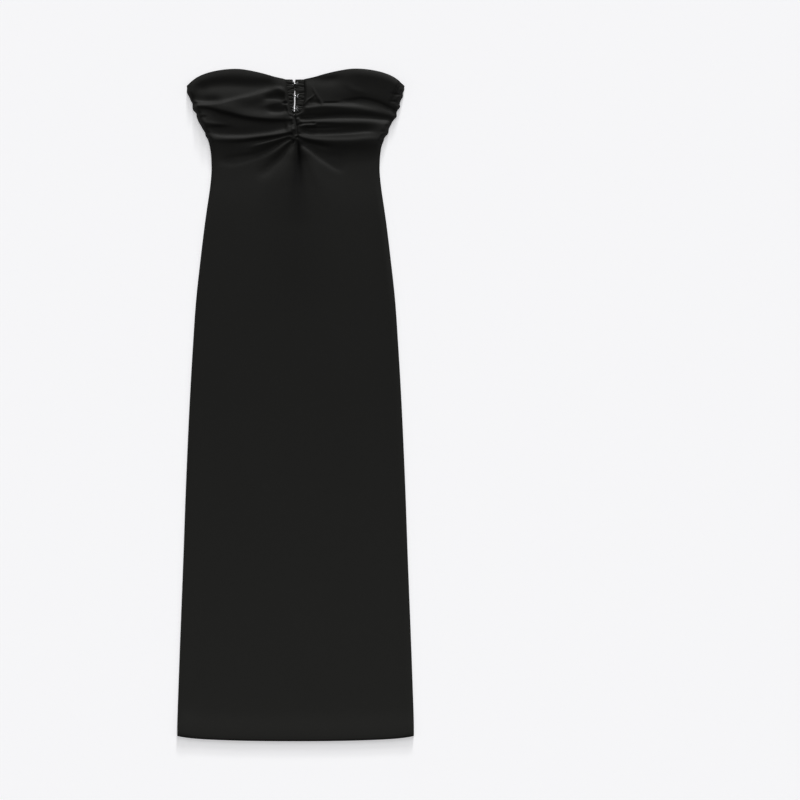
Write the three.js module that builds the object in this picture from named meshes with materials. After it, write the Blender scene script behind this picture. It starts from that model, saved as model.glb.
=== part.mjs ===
// A strapless knitted dress with a gathered bust, laid flat with its front up. Millimetres.
// X runs across the dress, Y up the dress to its neckline, Z up from the surface that it lies on.
// "up" is the distance along the dress from the lowest point of its hem.
import * as THREE from "three";

// Driving dimensions
const LENGTH = 1208; // lowest point of the hem to the highest of the neckline
const WALL = 1.5; // thickness of the knitted cloth
const SEAM_GAP = 0.3; // between pieces that are sewn together
const HEM_DEPTH = 31; // cloth turned up inside the hem
const HEM_EXTRA = 1.3; // what the turned-up cloth adds to the wall
const HEM_EDGE = 6; // width over which that ends
const HEM_SWEEP = 9.4; // how far the hem rises from its middle to its corners
const HEM_BOW = { share: 0.66, power: 2.4 }; // the part of that rise that is an even bow
const HEM_CORNER_POWER = 12; // the rest comes close to the corners
const SIDE_RISE = 0.8; // how far the back curls up at its side seams
const SIDE_RISE_REACH = 8;
const SIDE_ROLL = 11; // width over which the front rolls down to its side seams
const NECK_ROLL = 13; // the same at the neckline, where NECK_LOW of the loft is left
const NECK_LOW = 0.74;
const HEM_ROLL = 5; // and at the hem
const BAND_ROLL = 6; // and at the seams with the two bands, where BAND_LOW is left
const BAND_LOW = 0.25;
const SKIRT_LOFT = 0.8; // how far the front stands off the back in the skirt
const SIDE_LOFT = 1.4; // what the seam allowances add beside the side seams
const SIDE_LOFT_REACH = 20;
const BUST_LOFT = 6; // how far the gathered bust stands off the back
const BUST_LOW = 1040; // where the bust's loft begins
const BUST_FULL = 1098; // and where it is full
const BACK_NECK_DIP = 58; // the back neckline's middle below its corners
const BACK_NECK_POWER = 1.5; // how it is curved
const SLIT_FOOT = 1125; // where the slit and its bands end
const FOOT_EASE = 12; // height over which the front comes down to them
const BAND_HEIGHT = 2.1; // top of a band above its underside
const BAND_TOP = 1188; // where a band ends beside the slit
const BAND_EDGE = 0.55; // share of a band's height left at its edges
const BAND_TOP_ROLL = 3;
const GATHER = { depth: 1, half: 1.8 }; // of each gather of a band
const HOOK_HEIGHTS = { top: 1182.5, middle: 1159.5, bottom: 1136.5 };
const WIRE = 0.7; // diameter of the hooks and eyes

// Half widths of the laid dress, a row for each section
const SECTIONS = [
  { up: 0, half: 212.4 },
  { up: 37, half: 212.2 },
  { up: 109, half: 209.8 },
  { up: 181, half: 207.2 },
  { up: 325, half: 201.6 },
  { up: 469, half: 196.4 },
  { up: 613, half: 189.9 },
  { up: 721, half: 183.6 },
  { up: 793, half: 178.6 },
  { up: 865, half: 170.8 },
  { up: 937, half: 162 },
  { up: 991, half: 154.1 },
  { up: 1022, half: 150.9 },
  { up: 1045, half: 151.1 },
  { up: 1063, half: 152.9 },
  { up: 1081, half: 157.2 },
  { up: 1100, half: 166.5 },
  { up: 1120, half: 176.5 },
  { up: 1140, half: 184.5 },
  { up: 1160, half: 191 },
  { up: 1178, half: 195.5 },
];

// Small waves of the side seams where gathers meet them: how far out, over what reach
const PUCKERS = [
  { side: -1, up: 1166, out: 2.4, reach: 6 },
  { side: -1, up: 1147, out: -1.5, reach: 4 },
  { side: -1, up: 1136, out: 1.6, reach: 4 },
  { side: -1, up: 1128, out: -1.8, reach: 3.5 },
  { side: -1, up: 1114, out: 0.6, reach: 6 },
  { side: -1, up: 1095, out: -1, reach: 3.5 },
  { side: -1, up: 1088, out: 0.9, reach: 4 },
  { side: 1, up: 1171, out: 1.2, reach: 3.5 },
  { side: 1, up: 1159, out: 1.9, reach: 4 },
  { side: 1, up: 1140, out: 2.9, reach: 4 },
  { side: 1, up: 1123, out: 3.3, reach: 5 },
  { side: 1, up: 1093, out: 3.1, reach: 5.5 },
  { side: 1, up: 1079, out: 1.2, reach: 5 },
];

// The front neckline, from the inner corner beside the band out to the side seam
const NECKLINE = [
  { out: 0, up: 1189.7 },
  { out: 0.1, up: 1193.5 },
  { out: 0.22, up: 1199.5 },
  { out: 0.34, up: 1204.4 },
  { out: 0.46, up: 1207.6 },
  { out: 0.56, up: 1207.6 },
  { out: 0.68, up: 1205.2 },
  { out: 0.8, up: 1200 },
  { out: 0.9, up: 1192 },
  { out: 1, up: 1178 },
];

// The middle of the front below the slit, and the seams to the two bands above it
const MIDDLE = [
  { up: 1000, x: 0 },
  { up: 1060, x: 3 },
  { up: 1090, x: 3 },
  { up: 1108, x: 0.5 },
  { up: SLIT_FOOT, x: -2.5 },
];
const BAND_SEAMS = [
  { up: SLIT_FOOT, left: -2.5, right: -2.5 },
  { up: 1130, left: -7.6, right: 7.2 },
  { up: 1136, left: -9, right: 11.8 },
  { up: 1152, left: -11.9, right: 14.8 },
  { up: 1168, left: -14.4, right: 16.4 },
  { up: 1190, left: -18.6, right: 15.2 },
];

// The slit between the bands, with a notch at its top
const SLIT = [
  { up: 1126.5, middle: -2.6, half: 0.2 },
  { up: 1131, middle: -2.4, half: 0.5 },
  { up: 1132.5, middle: -2.4, half: 1.4 },
  { up: 1137, middle: -2.4, half: 1.7 },
  { up: 1142, middle: -2, half: 1.7 },
  { up: 1150, middle: -1.5, half: 1.7 },
  { up: 1165, middle: -1.6, half: 1.7 },
  { up: 1169, middle: -1.5, half: 1.4 },
  { up: 1171.5, middle: -1.5, half: 0.5 },
  { up: 1174, middle: -1.4, half: 0.22 },
  { up: 1178, middle: -1.4, half: 0.2 },
  { up: 1181, middle: -1.4, half: 0.25 },
  { up: 1183, middle: -1.8, half: 1 },
  { up: 1186, middle: -2.4, half: 2.9 },
  { up: 1190, middle: -2.9, half: 4.4 },
];

// Heights of the gathers of each band
const GATHERS = {
  "-1": [1130, 1137, 1142, 1147.3, 1153.5, 1160.6, 1165.3, 1171.8, 1178.6, 1183],
  1: [1130, 1133, 1138.3, 1143.4, 1152.8, 1156.6, 1160.8, 1166.7, 1175.4, 1182.6],
};

// The main folds, a row for each ridge (height above 0) or trough (below 0). above is the width of
// its flank towards the neckline and below that of the one towards the hem, toAbove and toBelow
// the same at its route's end. fade and toFade are the shares of its length over which it rises
// and dies away, and route holds the points [x, up] along its crest or its bottom.
const FOLD_COLUMNS = ["height", "above", "toAbove", "below", "toBelow", "fade", "toFade", "route"];
const LEAST_FLANK = 3.2; // narrower flanks would fall between two rows of points
const ROUTE_STEPS = 24;
const FLANKS_FELT = 3.2; // a fold ends this many flanks from its crest
const FOLDS = [
  // Left bust, from the neckline down
  [-4, 10, 12, 13, 15, 0.15, 0.15,
    [[-188, 1166], [-170, 1172], [-150, 1178], [-120, 1180], [-80, 1178], [-50, 1179],
     [-28, 1183]]],
  [3.4, 5, 5, 26, 7, 0.05, 0.1,
    [[-182, 1142], [-160, 1141.5], [-140, 1143], [-120, 1147.5], [-100, 1153], [-80, 1157.5],
     [-60, 1163.8], [-45, 1168], [-34, 1171], [-25, 1169.5], [-18.5, 1163], [-16.5, 1155]]],
  [-3.2, 11, 8, 4, 4, 0.1, 0.35,
    [[-190, 1155], [-172, 1152], [-148, 1150.5], [-126, 1154]]],
  [-3, 8, 9, 4, 4, 0.35, 0.1,
    [[-62, 1153], [-45, 1156], [-30, 1156.5], [-18, 1154]]],
  [-3.4, 8, 7, 5, 5, 0.35, 0.1,
    [[-56, 1134], [-38, 1132.5], [-25, 1132.5], [-13, 1136]]],
  [3.9, 7, 18, 4, 4, 0.3, 0.3,
    [[-8, 1120], [-20, 1119.5], [-40, 1118.5], [-60, 1119], [-85, 1122], [-100, 1125.5],
     [-120, 1131], [-135, 1134.5], [-148, 1138], [-168, 1139.5]]],
  [-2.8, 2.4, 2.4, 10, 12, 0.03, 0.05,
    [[-4, 1113.5], [-20, 1113.5], [-40, 1113.5], [-60, 1115], [-85, 1118], [-100, 1120.5],
     [-120, 1125], [-135, 1129], [-148, 1133.5], [-160, 1135.5], [-182, 1137]]],
  [-3.4, 14, 14, 4, 5.5, 0.3, 0.05,
    [[-158, 1093], [-100, 1091.5], [-60, 1095], [-12, 1102]]],
  [1.3, 4, 4, 3, 3, 0.2, 0.4,
    [[-172, 1112], [-150, 1109.5], [-116, 1106.5]]],
  [2.4, 3.6, 3.6, 3.6, 4, 0.05, 0.05,
    [[-160, 1082], [-130, 1081.3], [-110, 1081.5], [-90, 1083], [-60, 1086.8], [-30, 1090],
     [-10, 1094.5], [-3, 1101], [-1, 1107]]],
  [-3.6, 2.2, 2.4, 3, 6, 0.03, 0.6,
    [[-4, 1092], [-15, 1089.5], [-30, 1086.5], [-50, 1083], [-70, 1080.3], [-90, 1077.3],
     [-105, 1075], [-128, 1073]]],
  [-3, 3, 10, 3, 8, 0.05, 0.3,
    [[-6, 1084.5], [-20, 1078.5], [-40, 1068], [-60, 1057.5], [-85, 1048.5], [-120, 1042],
     [-146, 1044]]],
  [2.3, 3, 6, 4, 9, 0.05, 0.4,
    [[-6, 1081], [-20, 1072], [-35, 1060], [-50, 1050], [-65, 1043.5], [-92, 1035]]],
  [-3.4, 3, 9, 4, 12, 0.05, 0.35,
    [[-3, 1083], [-13, 1068.5], [-25, 1052.5], [-36.5, 1040], [-51, 1027], [-75, 1012]]],
  [3.8, 8, 18, 5, 12, 0.15, 0.5,
    [[-2, 1076], [-8, 1060], [-15, 1040], [-22, 1018], [-32, 985]]],
  // Middle: the trough below the gathered seam, the swell that fans out from it, and the seam
  [-5, 2.6, 9, 2.6, 9, 0.05, 0.6,
    [[3, 1084], [3.5, 1072], [3.5, 1060], [4, 1045], [5, 1020], [5, 990], [4, 950]]],
  [4.6, 9, 20, 9, 20, 0.1, 0.88,
    [[5, 1078], [5, 1060], [5, 1030], [4, 990], [3, 930]]],
  [3.6, 24, 60, 24, 60, 0.17, 0.8,
    [[4, 1080], [4, 1040], [4, 980], [4, 880]]],
  [-3.4, 2.4, 2.4, 2.4, 2.4, 0.05, 0.05,
    [[-2.5, 1125], [-1, 1116], [1.5, 1106], [2, 1096], [1.5, 1088]]],
  // Right bust, from the neckline down
  [-3, 6, 7, 10, 10, 0.2, 0.35,
    [[20, 1182], [45, 1183], [66, 1186], [84, 1191]]],
  [-1.6, 15, 15, 13, 13, 0.3, 0.1,
    [[96, 1181], [120, 1176], [150, 1171], [188, 1160]]],
  [-2.9, 12, 13, 5, 7, 0.5, 0.05,
    [[36, 1149], [56, 1148.5], [80, 1148.5], [110, 1147.5], [140, 1142.5], [160, 1135.5],
     [184, 1128]]],
  [2.9, 2.7, 3.2, 6, 6, 0.05, 0.7,
    [[12, 1136.5], [30, 1138.5], [50, 1140.6], [80, 1140.3], [110, 1138.6], [140, 1133],
     [160, 1127.5], [184, 1121]]],
  [-4.8, 6.5, 7, 2.6, 3, 0.03, 0.1,
    [[7, 1115.5], [11, 1118.5], [25, 1119.5], [40, 1120.8], [60, 1122.8], [90, 1123.8],
     [120, 1123], [140, 1121.5], [160, 1118], [182, 1113]]],
  [3.3, 3, 7, 2, 7, 0.03, 0.3,
    [[8, 1110], [25, 1110.5], [40, 1112], [60, 1112], [80, 1111.3], [120, 1111], [140, 1110.5],
     [155, 1108.5], [176, 1105.5]]],
  [-3.8, 8, 10, 3.5, 4, 0.05, 0.3,
    [[10, 1097], [30, 1093.5], [60, 1093.5], [100, 1095.5], [125, 1097], [158, 1095]]],
  [3.8, 5, 7, 6, 8, 0.03, 0.05,
    [[3, 1086], [15, 1082.5], [30, 1080], [60, 1078.3], [100, 1078.6], [130, 1081], [164, 1081]]],
  [-3.2, 2.4, 5, 3, 6, 0.03, 0.35,
    [[1, 1087.5], [8, 1083], [20, 1078], [40, 1072.8], [70, 1065.5]]],
  [-3.2, 6, 24, 4, 8, 0.1, 0.3,
    [[8, 1078], [30, 1062], [50, 1048], [72, 1034], [96, 1024]]],
  [2.2, 4, 8, 8, 20, 0.1, 0.4,
    [[10, 1072], [25, 1059], [40, 1045], [60, 1031], [84, 1016]]],
  [3.4, 8, 18, 4, 10, 0.15, 0.5,
    [[8, 1075], [15, 1058], [22, 1040], [29, 1016], [36, 985]]],
  // Soft hollows and swells of the skirt
  [-0.7, 12, 16, 12, 16, 0.3, 0.2,
    [[-166, 120], [-196, 40]]],
  [0.5, 34, 30, 34, 30, 0.4, 0.4,
    [[-120, 700], [-60, 330]]],
  [0.5, 30, 34, 30, 34, 0.4, 0.4,
    [[70, 820], [96, 420]]],
  [0.5, 34, 30, 34, 30, 0.4, 0.3,
    [[-20, 300], [40, 60]]],
].map((row) => Object.fromEntries(FOLD_COLUMNS.map((name, i) => [name, row[i]])));

// How finely the panels are divided
const BUST_START = 0.83; // share of the dress's length below the finely divided bust
const SKIRT_ROWS = 14;
const BUST_ROWS = 32; // up to the slit's foot
const NECK_ROWS = 16; // beside the slit
const BUST_COLUMNS = 17; // in each half, inside the two narrow ones at the side seam
const SKIRT_COLUMNS = 6;
const BACK_COLUMNS = 4;
const SIDE_COLUMNS = [0.982, 1];
const SIDE_COLUMN = 0.953;
const COLUMN_CROWDING = 0.3; // how much closer together they stand at the middle and the sides
const SLOPE_STEP = 0.5; // between two points that a slope is taken from
const BAND_ROWS = 40;
const BAND_COLUMNS = [0, 0.15, 0.5, 0.85, 1];
const WIRE_SIDES = 6;

const cloth = new THREE.MeshStandardMaterial({ color: 0x1e1e1d, roughness: 0.85, metalness: 0 });
const ruche = new THREE.MeshStandardMaterial({ color: 0x1b1b1a, roughness: 0.85, metalness: 0 });
const metal = new THREE.MeshStandardMaterial({ color: 0xc4c6c8, roughness: 0.3, metalness: 1 });

const clamp01 = (t) => Math.min(Math.max(t, 0), 1);
const mix = (a, b, t) => a + (b - a) * t;
const ease = (t) => clamp01(t) ** 2 * (3 - 2 * clamp01(t));
const roll = (distance, reach) => 1 - (1 - clamp01(distance / reach)) ** 2;

// A smooth curve through the rows of a table, level beyond its ends
function curve(rows, key, value) {
  const slope = (i) => {
    const a = rows[Math.max(i - 1, 0)];
    const b = rows[Math.min(i + 1, rows.length - 1)];
    return (b[value] - a[value]) / (b[key] - a[key]);
  };
  return (at) => {
    const last = rows.length - 1;
    if (at <= rows[0][key]) return rows[0][value];
    if (at >= rows[last][key]) return rows[last][value];
    const i = rows.findIndex((row) => row[key] > at) - 1;
    const span = rows[i + 1][key] - rows[i][key];
    const t = (at - rows[i][key]) / span;
    const start = (1 + 2 * t) * (1 - t) ** 2 * rows[i][value] + t * (1 - t) ** 2 * span * slope(i);
    const end = t ** 2 * (3 - 2 * t) * rows[i + 1][value] - t ** 2 * (1 - t) * span * slope(i + 1);
    return start + end;
  };
}

const sectionHalf = curve(SECTIONS, "up", "half");
const necklineUp = curve(NECKLINE, "out", "up");
const middleX = curve(MIDDLE, "up", "x");
const seamX = { "-1": curve(BAND_SEAMS, "up", "left"), 1: curve(BAND_SEAMS, "up", "right") };
const slitMiddle = curve(SLIT, "up", "middle");
const slitHalf = curve(SLIT, "up", "half");

function sideX(side, up) {
  const waves = PUCKERS.filter((row) => row.side === side);
  const out = waves.reduce((sum, row) => sum + row.out * Math.exp(-(((up - row.up) / row.reach) ** 2)), 0);
  return side * (sectionHalf(up) + out);
}

function innerX(side, up) {
  return up > SLIT_FOOT ? seamX[side](up) : middleX(up);
}

function hemUp(out) {
  return HEM_SWEEP * (HEM_BOW.share * out ** HEM_BOW.power + (1 - HEM_BOW.share) * out ** HEM_CORNER_POWER);
}

function backNecklineUp(out) {
  const corner = necklineUp(1);
  return corner - BACK_NECK_DIP * (1 - out ** 2) ** BACK_NECK_POWER;
}

// Each fold's route as short straight steps, with its length and the reach of its flanks
for (const fold of FOLDS) {
  const spline = new THREE.SplineCurve(fold.route.map(([x, up]) => new THREE.Vector2(x, up)));
  fold.steps = spline.getPoints(ROUTE_STEPS);
  fold.lengths = spline.getLengths(ROUTE_STEPS);
  const reach = FLANKS_FELT * Math.max(fold.above, fold.toAbove, fold.below, fold.toBelow, LEAST_FLANK);
  fold.felt = new THREE.Box2().setFromPoints(fold.steps).expandByScalar(reach);
}

// Where a point lies beside a fold: along its route from 0 to 1, and how far towards the neckline
function besideFold(fold, point) {
  let nearest = { distance: Infinity };
  for (let i = 0; i < ROUTE_STEPS; i += 1) {
    const from = fold.steps[i];
    const run = fold.steps[i + 1].clone().sub(from);
    const offset = point.clone().sub(from);
    const t = clamp01(offset.dot(run) / run.lengthSq());
    offset.addScaledVector(run, -t);
    if (offset.length() >= nearest.distance) continue;
    const upwards = Math.sign(run.cross(offset)) * (run.x >= 0 ? 1 : -1);
    const along = mix(fold.lengths[i], fold.lengths[i + 1], t) / fold.lengths[ROUTE_STEPS];
    nearest = { distance: offset.length(), aside: offset.length() * upwards, along };
  }
  return nearest;
}

// The raised or lowered height of one fold at a point of the front
function foldHeight(fold, x, up) {
  const point = new THREE.Vector2(x, up);
  if (!fold.felt.containsPoint(point)) return 0;
  const { aside, along } = besideFold(fold, point);
  const flank = aside > 0 ? mix(fold.above, fold.toAbove, along) : mix(fold.below, fold.toBelow, along);
  const strength = ease(along / fold.fade) * ease((1 - along) / fold.toFade);
  return fold.height * strength * Math.exp(-((aside / Math.max(flank, LEAST_FLANK)) ** 2));
}

function hemExtra(aboveHem) {
  return HEM_EXTRA * (1 - ease((aboveHem - HEM_DEPTH) / HEM_EDGE + 0.5));
}

// Under and upper face of the back panel
function backFaces(place) {
  const rise = SIDE_RISE * (1 - clamp01(place.fromSide / SIDE_RISE_REACH)) ** 2;
  return { under: rise, over: rise + WALL + hemExtra(place.fromHem) };
}

// How far the front's upper face stands off the lowest that it could lie
function frontLoft(place) {
  const { x, up, fromSide, fromHem, fromNeck, fromBand } = place;
  const beside = Math.exp(-((fromSide / SIDE_LOFT_REACH) ** 2));
  const loft = SKIRT_LOFT + SIDE_LOFT * beside + BUST_LOFT * ease((up - BUST_LOW) / (BUST_FULL - BUST_LOW));
  const folds = FOLDS.reduce((sum, fold) => sum + foldHeight(fold, x, up), 0);
  const free = loft + folds;
  const laid = (free + Math.sqrt(free ** 2 + 1)) / 2;
  const atNeck = mix(NECK_LOW, 1, roll(fromNeck, NECK_ROLL));
  const atBand = mix(BAND_LOW, 1, roll(fromBand, BAND_ROLL));
  return laid * roll(fromSide, SIDE_ROLL) * roll(fromHem, HEM_ROLL) * atNeck * atBand;
}

// A point of the front or back, with its distances to the edges
function placeAt(side, out, up, lowest, highest) {
  const inner = innerX(side, up);
  const edge = sideX(side, up);
  const x = mix(inner, edge, out);
  const aboveFoot = ease((up - SLIT_FOOT) / FOOT_EASE + 0.5);
  return {
    x,
    up,
    fromSide: Math.abs(edge - x),
    fromHem: up - lowest,
    fromNeck: highest - up,
    fromBand: Math.abs(x - inner) + BAND_ROLL * (1 - aboveFoot),
  };
}

function frontPlace(side, out, share) {
  const lowest = hemUp(out);
  const highest = necklineUp(out);
  return placeAt(side, out, mix(lowest, highest, share), lowest, highest);
}

function backPlace(side, out, share) {
  const lowest = hemUp(out);
  const highest = backNecklineUp(out);
  const place = placeAt(side, out, mix(lowest, highest, share), lowest, highest);
  place.x = mix(0, sideX(side, place.up), out);
  place.fromSide = Math.abs(sideX(side, place.up) - place.x);
  return place;
}

function frontPoint(side, out, share) {
  const place = frontPlace(side, out, share);
  const floor = backFaces(place).over + SEAM_GAP;
  const loft = frontLoft(place);
  const slopeX = (frontLoft({ ...place, x: place.x + SLOPE_STEP }) - loft) / SLOPE_STEP;
  const slopeUp = (frontLoft({ ...place, up: place.up + SLOPE_STEP }) - loft) / SLOPE_STEP;
  const wall = WALL * Math.hypot(1, slopeX, slopeUp);
  const over = floor + WALL + hemExtra(place.fromHem) + loft;
  const under = Math.max(floor, over - wall - hemExtra(place.fromHem));
  return { x: place.x, up: place.up, over, under };
}

function backPoint(side, out, share) {
  const place = backPlace(side, out, share);
  return { x: place.x, up: place.up, ...backFaces(place) };
}

// A sheet of cloth as rows of points, joined into triangles and closed with an underside and a rim
class Sheet {
  constructor() {
    this.points = [];
    this.triangles = [];
  }

  addPoint(point) {
    this.points.push(point);
    return this.points.length - 1;
  }

  // Joins a lower and an upper row, each a list of { index, across } from left to right. Where
  // both step on together, the dividing edge goes between the two corners closest in height.
  joinRows(lower, upper) {
    const height = (vertex) => this.points[vertex.index].over;
    let i = 0;
    let j = 0;
    while (i < lower.length - 1 || j < upper.length - 1) {
      const lowerNext = i < lower.length - 1 ? lower[i + 1].across : Infinity;
      const upperNext = j < upper.length - 1 ? upper[j + 1].across : Infinity;
      let stepLower = lowerNext < upperNext;
      if (lowerNext === upperNext) {
        const rising = Math.abs(height(lower[i]) - height(upper[j + 1]));
        const falling = Math.abs(height(lower[i + 1]) - height(upper[j]));
        stepLower = falling < rising;
      }
      if (stepLower) {
        this.triangles.push([lower[i].index, lower[i + 1].index, upper[j].index]);
        i += 1;
      } else {
        this.triangles.push([lower[i].index, upper[j + 1].index, upper[j].index]);
        j += 1;
      }
    }
  }

  geometry() {
    const count = this.points.length;
    const over = this.points.map((p) => [p.x, p.up, p.over]);
    const under = this.points.map((p) => [p.x, p.up, p.under]);
    const edges = new Set();
    const faces = [];
    for (const [a, b, c] of this.triangles) {
      faces.push([a, b, c], [a + count, c + count, b + count]);
      for (const [from, to] of [[a, b], [b, c], [c, a]]) edges.add(from * count + to);
    }
    for (const edge of edges) {
      const from = Math.floor(edge / count);
      const to = edge % count;
      if (edges.has(to * count + from)) continue;
      faces.push([to, from, from + count], [to, from + count, to + count]);
    }
    const geometry = new THREE.BufferGeometry();
    geometry.setAttribute("position", new THREE.Float32BufferAttribute([...over, ...under].flat(), 3));
    geometry.setIndex(faces.flat());
    geometry.computeVertexNormals();
    return geometry;
  }
}

// Shares of a half's width from its middle out, closer together at both ends
function columns(count) {
  const inner = [];
  for (let i = 0; i <= count; i += 1) {
    const t = i / count;
    inner.push(SIDE_COLUMN * (t - (COLUMN_CROWDING * Math.sin(2 * Math.PI * t)) / (2 * Math.PI)));
  }
  return [...inner, ...SIDE_COLUMNS];
}

// A panel from the hem to a neckline. A row is split in two where the slit parts it.
function panelGeometry(rows, pointOf) {
  const sheet = new Sheet();
  let below = null;
  for (const { share, outs, split } of rows) {
    const halfRow = (side) =>
      outs.map((out) => ({ across: side * out, index: sheet.addPoint(pointOf(side, out, share)) }));
    const right = halfRow(1);
    const left = outs.slice(1).map((out) => ({
      across: -out,
      index: sheet.addPoint(pointOf(-1, out, share)),
    }));
    const leftInner = split ? { across: 0, index: sheet.addPoint(pointOf(-1, 0, share)) } : right[0];
    const row = { left: [leftInner, ...left].reverse(), right };
    if (below) {
      sheet.joinRows(below.left, row.left);
      sheet.joinRows(below.right, row.right);
    }
    below = row;
  }
  return sheet.geometry();
}

function frontPanel() {
  const footShare = SLIT_FOOT / necklineUp(0);
  const rows = [];
  const skirt = columns(SKIRT_COLUMNS);
  const bust = columns(BUST_COLUMNS);
  for (const share of skirtShares()) rows.push({ share, outs: skirt, split: false });
  for (let i = 1; i <= BUST_ROWS; i += 1) {
    rows.push({ share: mix(BUST_START, footShare, i / BUST_ROWS), outs: bust, split: false });
  }
  for (let i = 1; i <= NECK_ROWS; i += 1) {
    rows.push({ share: mix(footShare, 1, i / NECK_ROWS), outs: bust, split: true });
  }
  return new THREE.Mesh(panelGeometry(rows, frontPoint), cloth);
}

// Rows of the skirt: close together over the turned-up hem, then even
function skirtShares() {
  const hem = [0, HEM_ROLL / 2, HEM_ROLL, HEM_DEPTH - HEM_EDGE / 2, HEM_DEPTH + HEM_EDGE / 2].map((up) => up / LENGTH);
  const above = [];
  for (let i = 1; i <= SKIRT_ROWS; i += 1) above.push(mix(hem.at(-1), BUST_START, i / SKIRT_ROWS));
  return [...hem, ...above];
}

function backPanel() {
  const outs = columns(BACK_COLUMNS);
  const bustRows = (BUST_ROWS + NECK_ROWS) / 2;
  const rows = skirtShares().map((share) => ({ share, outs, split: false }));
  for (let i = 1; i <= bustRows; i += 1) {
    rows.push({ share: mix(BUST_START, 1, i / bustRows), outs, split: false });
  }
  return new THREE.Mesh(panelGeometry(rows, backPoint), cloth);
}

// A band from the slit's foot to the neckline, ruched across
function band(side) {
  const sheet = new Sheet();
  const floor = WALL + SEAM_GAP;
  const foot = SLIT[0].up;
  const outs = side < 0 ? [...BAND_COLUMNS].reverse() : BAND_COLUMNS;
  let below = null;
  for (let i = 0; i <= BAND_ROWS; i += 1) {
    const share = i / BAND_ROWS;
    const row = outs.map((out) => {
      const top = mix(BAND_TOP, necklineUp(0), out);
      const up = mix(foot, top, share);
      const slit = slitMiddle(up) + side * slitHalf(up);
      const seam = seamX[side](up) - side * SEAM_GAP;
      const drawn = GATHERS[side].reduce((sum, at) => sum + Math.exp(-(((up - at) / GATHER.half) ** 2)), 0);
      const rounded = mix(BAND_EDGE, 1, Math.sin(Math.PI * out)) * mix(BAND_EDGE, 1, roll(top - up, BAND_TOP_ROLL));
      const over = floor + (BAND_HEIGHT - GATHER.depth * Math.min(drawn, 1)) * rounded;
      return { across: side * out, index: sheet.addPoint({ x: mix(slit, seam, out), up, over, under: floor }) };
    });
    if (below) sheet.joinRows(below, row);
    below = row;
  }
  return new THREE.Mesh(sheet.geometry(), ruche);
}

// A bent wire through points [out from the slit, along it, above the bands]
function wire(points, steps) {
  const path = new THREE.CatmullRomCurve3(points.map((p) => new THREE.Vector3(...p)), false, "centripetal");
  const ring = [];
  for (let i = 0; i < WIRE_SIDES; i += 1) {
    const turn = (2 * Math.PI * i) / WIRE_SIDES;
    ring.push(new THREE.Vector2((WIRE / 2) * Math.cos(turn), (WIRE / 2) * Math.sin(turn)));
  }
  const shape = new THREE.Shape(ring);
  const geometry = new THREE.ExtrudeGeometry(shape, { steps, extrudePath: path, bevelEnabled: false });
  return new THREE.Mesh(geometry, metal);
}

// The sewing ring at the end of a wire: points round most of a circle, from its open end to its leg
function ringPoints(centre, radius, way) {
  const points = [];
  for (let i = 0; i <= RING_STEPS; i += 1) {
    const turn = -Math.PI / 2 - way * (1 - i / RING_STEPS) * RING_TURN;
    points.push([centre[0] + radius * Math.cos(turn), centre[1] + radius * Math.sin(turn), centre[2]]);
  }
  return points;
}

const RING_TURN = 1.6 * Math.PI; // how far round a sewing ring goes
const RING_STEPS = 6;
const WIRE_LOW = WIRE / 2; // wire that lies on the bands
const WIRE_STEP = WIRE + SEAM_GAP; // from one crossing wire to the next above it

function eye() {
  const half = 1.8;
  const ringRadius = 0.9;
  const ring = ringPoints([-3.7, half + ringRadius, WIRE_LOW], ringRadius, 1);
  const leg = [
    [-2.6, half, WIRE_LOW + WIRE_STEP * 0.1],
    [-1.2, half, WIRE_LOW + WIRE_STEP * 0.9],
    [-0.3, half * 0.8, WIRE_LOW + WIRE_STEP],
    [0, half * 0.4, WIRE_LOW + WIRE_STEP],
  ];
  const upper = [...ring, ...leg];
  const lower = upper.map(([out, along, above]) => [out, -along, above]).reverse();
  return wire([...upper, ...lower], 40);
}

function hook() {
  const half = 0.55;
  const ringRadius = 1.1;
  const ring = ringPoints([5.6, half + ringRadius, WIRE_LOW], ringRadius, -1);
  const leg = [
    [3.8, half, WIRE_LOW + WIRE_STEP * 0.5],
    [1.6, half, WIRE_LOW + WIRE_STEP * 1.8],
    [0, half, WIRE_LOW + WIRE_STEP * 2],
    [-WIRE_STEP * 0.75, half, WIRE_LOW + WIRE_STEP * 1.7],
    [-WIRE_STEP, half, WIRE_LOW + WIRE_STEP],
    [-WIRE_STEP * 0.75, half, WIRE_LOW + WIRE_STEP * 0.3],
    [0, half, WIRE_LOW],
    [0.9, half, WIRE_LOW],
    [1.5, half * 0.5, WIRE_LOW],
  ];
  const upper = [...ring, ...leg];
  const lower = upper.map(([out, along, above]) => [out, -along, above]).reverse();
  return wire([...upper, ...lower], 62);
}

const dress = new THREE.Group();
dress.position.y = -LENGTH / 2;

function add(name, mesh) {
  mesh.name = name;
  dress.add(mesh);
}

add("back_panel", backPanel());
add("front_panel", frontPanel());
add("band_left", band(-1));
add("band_right", band(1));
const wireBase = WALL + SEAM_GAP + BAND_HEIGHT + SEAM_GAP;
for (const [name, up] of Object.entries(HOOK_HEIGHTS)) {
  const fastener = new THREE.Group();
  fastener.position.set(slitMiddle(up), up, wireBase);
  const hookMesh = hook();
  const eyeMesh = eye();
  hookMesh.name = `hook_${name}`;
  eyeMesh.name = `eye_${name}`;
  fastener.add(hookMesh, eyeMesh);
  dress.add(fastener);
}

export default dress;
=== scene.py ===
# A strapless knitted dress with a gathered bust, laid flat on a pale floor and seen from above.
# Lengths in the dictionaries are millimetres where no note says metres: x from the middle of the
# dress, up from the lowest point of its hem. Side -1 is on the left of the photograph, 1 on the right.
import math

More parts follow.
